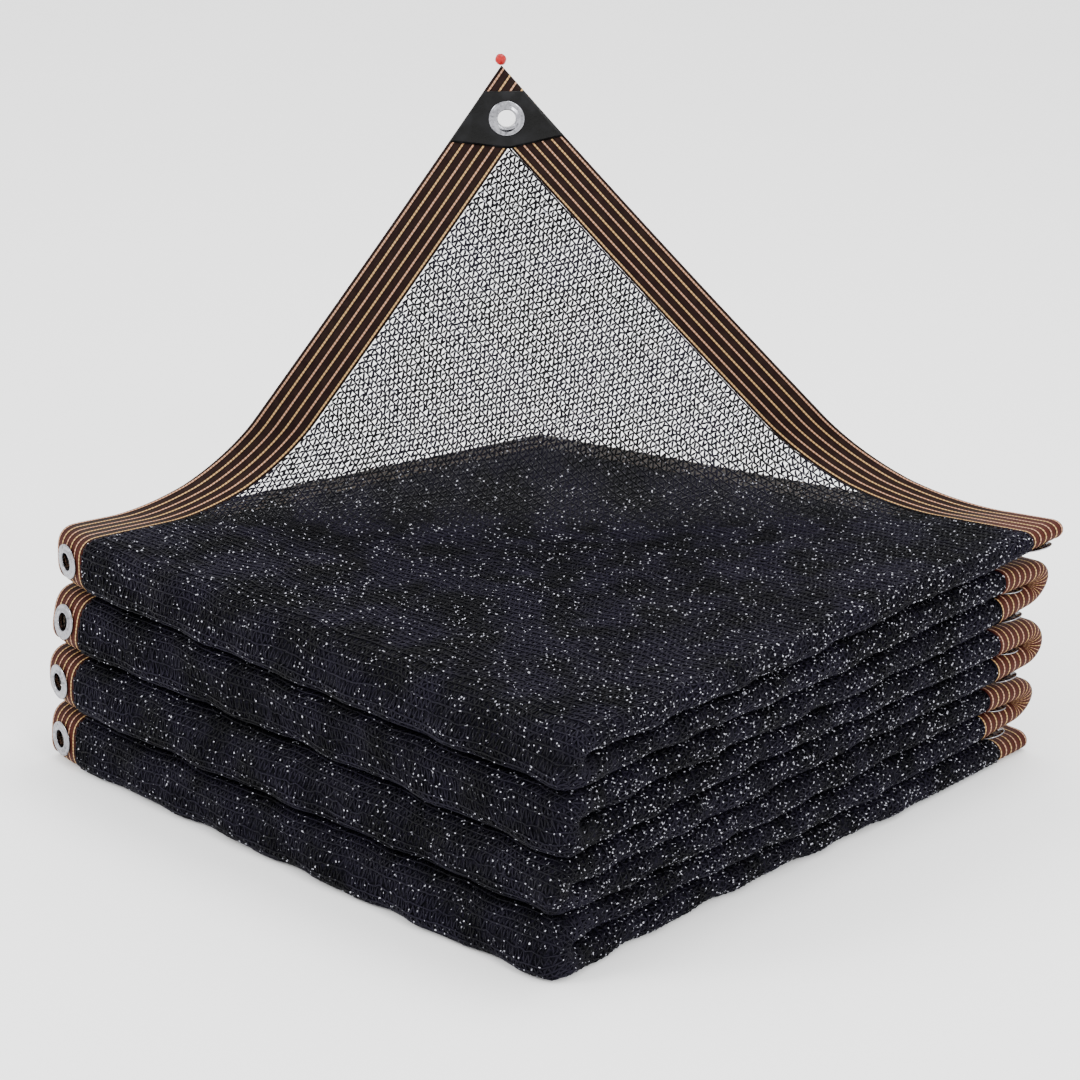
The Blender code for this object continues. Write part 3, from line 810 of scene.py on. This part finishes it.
def add_long_tape(name, n, top, node, fine):
    """Tape on a long edge of the net, which goes down through all the folds."""
    across, thick, rise = tape_profile(TAPE_COLUMNS if fine else HIDDEN_COLUMNS)
    steps = (90, 20, 12, 4) if fine else (40, 10, 8, 3)
    path = whole_path(*steps, past_net=True)
    bend = np.where(path["side"] > 0, np.cos(path["angle"]), 0.0)
    path = {key: value[:, None] for key, value in path.items()}
    x = X_LEFT + across
    above = place(path, x, n + thick + rise, np.array(top))
    below = place(path, x, n - thick, np.array(top))
    along = lengths_along(above)
    uvs = np.stack(np.broadcast_arrays(across[None, :], along[:, None]), axis=-1)
    # reddish painted sheen on the shown tape, strongest round the front bends; the hidden tape gets painted
    # shade, less of it round the bends
    shown = PAINTED_SHEEN_FLAT + PAINTED_SHEEN_BEND * bend
    warm = np.broadcast_to((shown if fine else bend + PAINTED_SHADE_HIDDEN)[:, None], uvs.shape[:2])
    return slab(name, above, below, "tape", uvs=uvs, warm=warm, stands_for=[node])


def add_end_tape(name, panel, node):
    """Tape on a short end of the net, folded in four with it."""
    across, thick, rise = tape_profile(TAPE_COLUMNS if panel == 1 else HIDDEN_COLUMNS)
    x, n, nx, nn, top = section_points(top_count=90, ridge_count=16, layer_count=6, turn_count=6)
    path = {key: value[:, None] for key, value in on_panel(panel, Y_BACK - across).items()}
    above = place(path, x + nx * (thick + rise)[:, None], n + nn * (thick + rise)[:, None], top)
    below = place(path, x - nx * thick[:, None], n - nn * thick[:, None], top)
    along = lengths_along(above.transpose(1, 0, 2))
    uvs = np.stack(np.broadcast_arrays(across[:, None], along[None, :]), axis=-1)
    # painted sheen towards the right corner; painted shade on the hidden layers
    ridge = smooth_step(x, *CORNER_SHEEN_FADE)
    warm = np.where(top, PAINTED_SHEEN_FLAT + PAINTED_SHEEN_BEND * ridge, PAINTED_SHEEN_CORNER * ridge + PAINTED_SHADE_HIDDEN)
    warm = np.broadcast_to(warm[None, :], uvs.shape[:2])
    return slab(name, above, below, "tape", uvs=uvs, warm=warm, stands_for=[node])


def add_bands():
    """Tape round each back bend, over the outer layer and round the ridge."""
    made = []
    top_count, ridge_count, layer_count, turn_count = 40, 16, 12, 6
    columns = section_points(top_count, ridge_count, layer_count, turn_count)
    first = top_count + 1
    last = first + ridge_count + layer_count
    x, n, nx, nn, top = (column[first:last] for column in columns)
    ridge = smooth_step(x, *CORNER_SHEEN_FADE)
    for panel in range(2, PANELS, 2):
        flat = np.linspace(BAND_Y, BEND_BACK_Y, 40)
        bend = on_bend(panel, np.linspace(QUARTER, -QUARTER, 24)[1:-1])
        path = joined(on_panel(panel, flat), bend, on_panel(panel + 1, flat[::-1]))
        path = {key: value[:, None] for key, value in path.items()}
        inner = HALF + GAP
        outer = inner + BAND_SHEET
        above = place(path, x + nx * outer, n + nn * outer, top)
        below = place(path, x + nx * inner, n + nn * inner, top)
        across = lengths_along(above)
        along = lengths_along(above.transpose(1, 0, 2))
        uvs = np.stack(np.broadcast_arrays(across[:, None], along[None, :]), axis=-1)
        # painted shade along the band, with painted sheen towards the right corner
        warm = np.broadcast_to((PAINTED_SHEEN_CORNER * ridge + PAINTED_SHADE_HIDDEN)[None, :], uvs.shape[:2])
        made.append(slab(f"fold_tape_{panel // 2}", above, below, "tape", uvs=uvs, warm=warm,
                         stands_for=[f"fold_band_{panel // 2}"]))
    return made


def ring_frame(node):
    """Centre of an eyelet's flange, its outward axis and its radius, from its solid."""
    points = np.array([tuple(vertex.co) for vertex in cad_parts[node].data.vertices])
    centred = points - points.mean(0)
    axis = np.linalg.svd(centred, full_matrices=False)[2][2]
    middle = points.mean(0)
    radii = np.linalg.norm(centred - np.outer(centred @ axis, axis), axis=1)
    rim = radii > radii.max() * 0.97
    if (centred[rim] @ axis).mean() < (centred[~rim] @ axis).mean():
        axis = -axis
    heights = centred @ axis
    seat = heights[rim].min()
    return middle + axis * seat, axis, radii.max(), heights.min() - seat


def add_eyelet(node):
    """A pressed eyelet with a rolled rim, a dished flange and a barrel."""
    seat, axis, outer, depth = ring_frame(node)
    first = np.cross(axis, (0.0, 0.0, 1.0))
    if np.linalg.norm(first) < 0.1:
        first = np.cross(axis, (1.0, 0.0, 0.0))
    first /= np.linalg.norm(first)
    second = np.cross(axis, first)
    flange = outer - EYELET_HOLE
    profile = [
        (EYELET_BARREL, depth), (EYELET_BARREL, 0.0), (outer - 0.0006, 0.0), (outer, 0.0003),
        (outer - 0.0002, 0.0008), (outer - 0.0009, 0.0012), (outer - 0.0018, 0.0011),
        (outer - 0.45 * flange, 0.0009), (outer - 0.62 * flange, 0.0013), (outer - 0.80 * flange, 0.0019),
        (EYELET_HOLE + 0.0006, 0.0019), (EYELET_HOLE + 0.0001, 0.0014), (EYELET_HOLE, 0.0006),
        (EYELET_HOLE, depth),
    ]
    sides = 72
    turns = 2 * np.pi * np.arange(sides) / sides
    radius, height = (np.array(column) for column in zip(*profile))
    spokes = np.cos(turns)[:, None] * first + np.sin(turns)[:, None] * second
    points = seat + spokes[:, None, :] * radius[None, :, None] + axis * height[None, :, None]
    size = len(profile)
    index = np.arange(sides * size).reshape(sides, size)
    after = np.roll(index, -1, axis=0)
    faces = np.stack([index, after, np.roll(after, -1, axis=1), np.roll(index, -1, axis=1)], axis=-1)
    faces = faces.reshape(-1, 4)
    return add_piece(f"ring_{node}", points, faces[:, ::-1], "metal", stands_for=[node])


def cut_hole(piece, node):
    """Open the tape or patch behind an eyelet."""
    seat, axis, _, _ = ring_frame(node)
    bpy.ops.mesh.primitive_cylinder_add(vertices=48, radius=EYELET_BARREL + GAP, depth=0.012, location=seat)
    cutter = bpy.context.object
    cutter.rotation_mode = "QUATERNION"
    cutter.rotation_quaternion = Vector(axis).to_track_quat("Z", "Y")
    bpy.context.view_layer.update()
    cut = piece.modifiers.new("hole", "BOOLEAN")
    cut.operation = "DIFFERENCE"
    cut.object = cutter
    shape = piece.evaluated_get(bpy.context.evaluated_depsgraph_get())
    mesh = bpy.data.meshes.new_from_object(shape)
    piece.modifiers.clear()
    piece.data = mesh
    bpy.data.objects.remove(cutter)


def add_patch():
    """The coated patch over the tape at the raised corner."""
    rows, columns = 22, 61
    p = np.linspace(0, 1, columns)[None, :]
    q = np.linspace(0, 1, rows)[:, None]
    upper = PATCH_TOP * (1 - p), PATCH_TOP * p
    half = np.minimum(p, 1 - p) * 2
    bow = PATCH_MIDDLE * half
    left = PATCH_LEFT + (PATCH_MIDDLE - PATCH_LEFT) * 2 * p
    lower_a = np.where(p < 0.5, left, PATCH_MIDDLE * 2 * (1 - p))
    lower_b = np.where(p < 0.5, bow, PATCH_MIDDLE + (PATCH_RIGHT - PATCH_MIDDLE) * (2 * p - 1))
    a = upper[0] + (lower_a - upper[0]) * q
    b = upper[1] + (lower_b - upper[1]) * q
    edge_q = np.minimum(np.minimum(q, 1 - q) * (rows - 1) / 2, 1.0)
    edge_p = np.minimum(np.minimum(p, 1 - p) * (columns - 1) / 2, 1.0)
    edge = edge_q * edge_p
    inner = HALF + GAP + STRIPE_RISE
    outer = inner + PATCH_SHEET * (0.35 + 0.65 * np.sqrt(edge))
    top = lifted(X_LEFT + b, Y_BACK - a, outer)
    bottom = lifted(X_LEFT + b, Y_BACK - a, np.full_like(outer, inner))
    return slab("patch", top, bottom, "patch", stands_for=["corner_patch"])


def add_bead():
    low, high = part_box("tip_bead")
    centre = np.array((low + high) / 2)
    radius = (high.z - low.z) / 2
    rows, sides = 24, 32
    up = np.pi * (np.arange(rows) + 0.5) / rows
    turns = 2 * np.pi * np.arange(sides) / sides
    lumps = 1 + 0.06 * np.sin(3 * up)[:, None] * np.sin(4 * turns)[None, :]
    points = centre + radius * lumps[..., None] * np.stack([
        np.sin(up)[:, None] * np.cos(turns), np.sin(up)[:, None] * np.sin(turns),
        np.broadcast_to(-np.cos(up)[:, None], (rows, sides))], axis=-1)
    index = np.arange(rows * sides).reshape(rows, sides)
    after = np.roll(index, -1, axis=1)
    faces = np.stack([index[:-1], after[:-1], after[1:], index[1:]], axis=-1).reshape(-1, 4)
    half = sides // 2
    cap = [(k, (k - 1) % sides, sides - 1 - k, (sides - k) % sides) for k in range(1, half)]
    top = index[-1, 0]
    faces = np.concatenate([faces, np.array(cap), np.array(cap)[:, ::-1] + top])
    return add_piece("bead", points, faces, "bead", stands_for=["tip_bead"])


def add_camera():
    data = bpy.data.cameras.new("camera")
    data.sensor_width = VIEW_SENSOR
    data.lens = VIEW_LENS
    data.shift_x, data.shift_y = VIEW_SHIFT
    camera = bpy.data.objects.new("camera", data)
    bpy.context.scene.collection.objects.link(camera)
    back = Vector((
        math.sin(VIEW_AZIMUTH) * math.cos(VIEW_ELEVATION),
        -math.cos(VIEW_AZIMUTH) * math.cos(VIEW_ELEVATION),
        math.sin(VIEW_ELEVATION),
    ))
    camera.location = VIEW_TARGET + back * VIEW_DISTANCE
    camera.rotation_mode = "QUATERNION"
    camera.rotation_quaternion = (-back).to_track_quat("-Z", "Y")
    bpy.context.scene.camera = camera


def add_light(name, location, size, power):
    data = bpy.data.lights.new(name, "AREA")
    data.shape = "DISK"
    data.size = size
    data.energy = power
    lamp = bpy.data.objects.new(name, data)
    lamp.location = location
    lamp.rotation_mode = "QUATERNION"
    lamp.rotation_quaternion = (VIEW_TARGET - Vector(location)).to_track_quat("-Z", "Y")
    bpy.context.scene.collection.objects.link(lamp)


def add_stage():
    bpy.ops.mesh.primitive_plane_add(size=14.0)
    floor = bpy.context.object
    floor.name = "floor"
    floor.data.materials.append(floor_material())
    world = bpy.data.worlds.new("studio")
    world.use_nodes = True
    world.node_tree.nodes["Background"].inputs["Color"].default_value = (1.0, 1.0, 1.0, 1.0)
    world.node_tree.nodes["Background"].inputs["Strength"].default_value = 2.2
    bpy.context.scene.world = world
    add_light("key", (-1.2, -2.4, 2.2), 1.2, 60.0)
    add_light("side", (2.6, -0.8, 1.4), 0.9, 45.0)
    add_light("top", (0.2, 0.6, 2.6), 1.0, 40.0)


def main():
    add_camera()
    add_stage()
    net = add_net()
    backing = add_backing()
    left = add_long_tape("tape_left", TOP_N, True, "binding_left", True)
    inner = add_long_tape("tape_inner", MID_N, False, "binding_inner", False)
    top = add_end_tape("tape_top", 1, "binding_top")
    end = add_end_tape("tape_end", PANELS, "binding_end")
    bands = add_bands()
    patch = add_patch()
    for number in range(1, 5):
        cut_hole(left, f"left_eyelet_{number}")
    cut_hole(left, "corner_eyelet")
    cut_hole(patch, "corner_eyelet")
    for node in sorted(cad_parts):
        if "eyelet" in node:
            add_eyelet(node)
    add_bead()


main()
